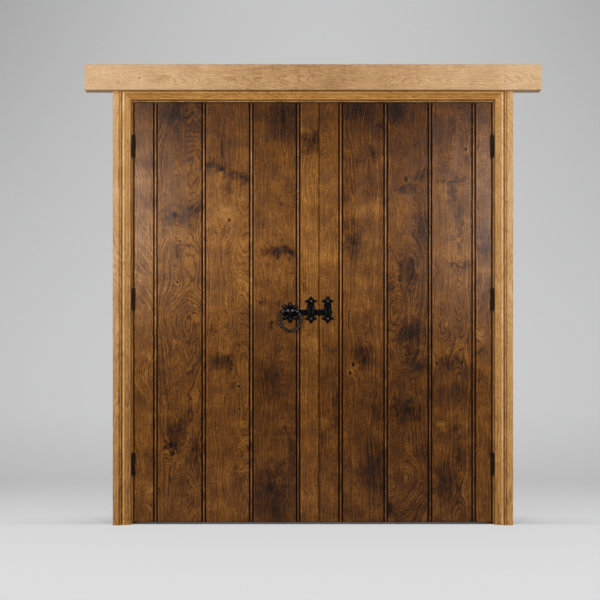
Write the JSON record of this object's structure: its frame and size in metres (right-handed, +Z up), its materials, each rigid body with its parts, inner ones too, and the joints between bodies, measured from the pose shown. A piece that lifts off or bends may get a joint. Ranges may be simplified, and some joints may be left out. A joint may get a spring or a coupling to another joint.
{
  "type": "double plank door",
  "caption": "Pair of dark stained oak plank door leaves with beaded boards, in a rebated oak frame with moulded architraves, a plain lintel board, butt hinges and a ring-handled bar latch.",
  "frame": {"origin": "middle of the doorway at floor level, in the plane of the wall's face where the lintel and the architraves bear on the wall", "axes": "+X along the wall to the right as seen from the room, +Y into the wall, +Z up"},
  "size_m": [2.134, 0.167, 2.158],
  "materials": {
    "frame_oak": "oiled oak, sawn and planed, straight grain",
    "architrave_oak": "oiled oak, run through a moulder",
    "lintel_oak": "pale oak, planed, with wide figure and knots",
    "board_oak": "dark stained and waxed oak with rippled grain",
    "back_frame_oak": "dark stained oak, planed",
    "nail_steel": "round heads, blackened, sunk below the face",
    "screw_steel": "slotted countersunk heads, blackened",
    "hinge_brass": "aged brass, dull",
    "black_iron": "forged iron, black waxed, edges rubbed"
  },
  "bodies": {
    "frame": {"frame_head": "frame_oak", "frame_screws": "screw_steel", "head_architrave": "architrave_oak", "hinge_pins": "hinge_brass", "left_architrave": "architrave_oak", "left_bottom_hinge_frame_plate": "hinge_brass", "left_jamb": "frame_oak", "left_middle_hinge_frame_plate": "hinge_brass", "left_top_hinge_frame_plate": "hinge_brass", "lintel": "lintel_oak", "right_architrave": "architrave_oak", "right_bottom_hinge_frame_plate": "hinge_brass", "right_jamb": "frame_oak", "right_middle_hinge_frame_plate": "hinge_brass", "right_top_hinge_frame_plate": "hinge_brass"},
    "left_leaf": {"bar_guide": "black_iron", "inner_rose": "black_iron", "latch_rose": "black_iron", "left_board_1": "board_oak", "left_board_2": "board_oak", "left_board_3": "board_oak", "left_board_4": "board_oak", "left_board_5": "board_oak", "left_bottom_hinge_door_plate": "hinge_brass", "left_hinge_stile": "back_frame_oak", "left_leaf_nails": "nail_steel", "left_leaf_screws": "screw_steel", "left_meeting_stile": "back_frame_oak", "left_middle_hinge_door_plate": "hinge_brass", "left_rail_1": "back_frame_oak", "left_rail_2": "back_frame_oak", "left_rail_3": "back_frame_oak", "left_rail_4": "back_frame_oak", "left_rail_5": "back_frame_oak", "left_rail_6": "back_frame_oak", "left_top_hinge_door_plate": "hinge_brass"},
    "latch": {"latch_boss": "black_iron", "latch_bar": "black_iron", "inner_lever": "black_iron"},
    "ring": {"ring_handle": "black_iron"},
    "right_leaf": {"bar_keeper": "black_iron", "right_board_1": "board_oak", "right_board_2": "board_oak", "right_board_3": "board_oak", "right_board_4": "board_oak", "right_board_5": "board_oak", "right_bottom_hinge_door_plate": "hinge_brass", "right_hinge_stile": "back_frame_oak", "right_leaf_nails": "nail_steel", "right_leaf_screws": "screw_steel", "right_meeting_stile": "back_frame_oak", "right_middle_hinge_door_plate": "hinge_brass", "right_rail_1": "back_frame_oak", "right_rail_2": "back_frame_oak", "right_rail_3": "back_frame_oak", "right_rail_4": "back_frame_oak", "right_rail_5": "back_frame_oak", "right_rail_6": "back_frame_oak", "right_top_hinge_door_plate": "hinge_brass"}
  },
  "joints": [
    {"name": "left_leaf_hinge", "type": "hinge", "parent": "frame", "child": "left_leaf", "pos_m": [-0.8455, -0.0075, 1], "axis": [0, 0, -1], "range_deg": [0, 160]},
    {"name": "right_leaf_hinge", "type": "hinge", "parent": "frame", "child": "right_leaf", "pos_m": [0.8455, -0.0075, 1], "axis": [0, 0, 1], "range_deg": [0, 160]},
    {"name": "latch_lift", "type": "hinge", "parent": "left_leaf", "child": "latch", "pos_m": [-0.1065, -0.012, 1.0005], "axis": [0, -1, 0], "range_deg": [0, 7]},
    {"name": "ring_swing", "type": "hinge", "parent": "latch", "child": "ring", "pos_m": [-0.1065, -0.023, 1.007], "axis": [-1, 0, 0], "range_deg": [0, 180]}
  ]
}
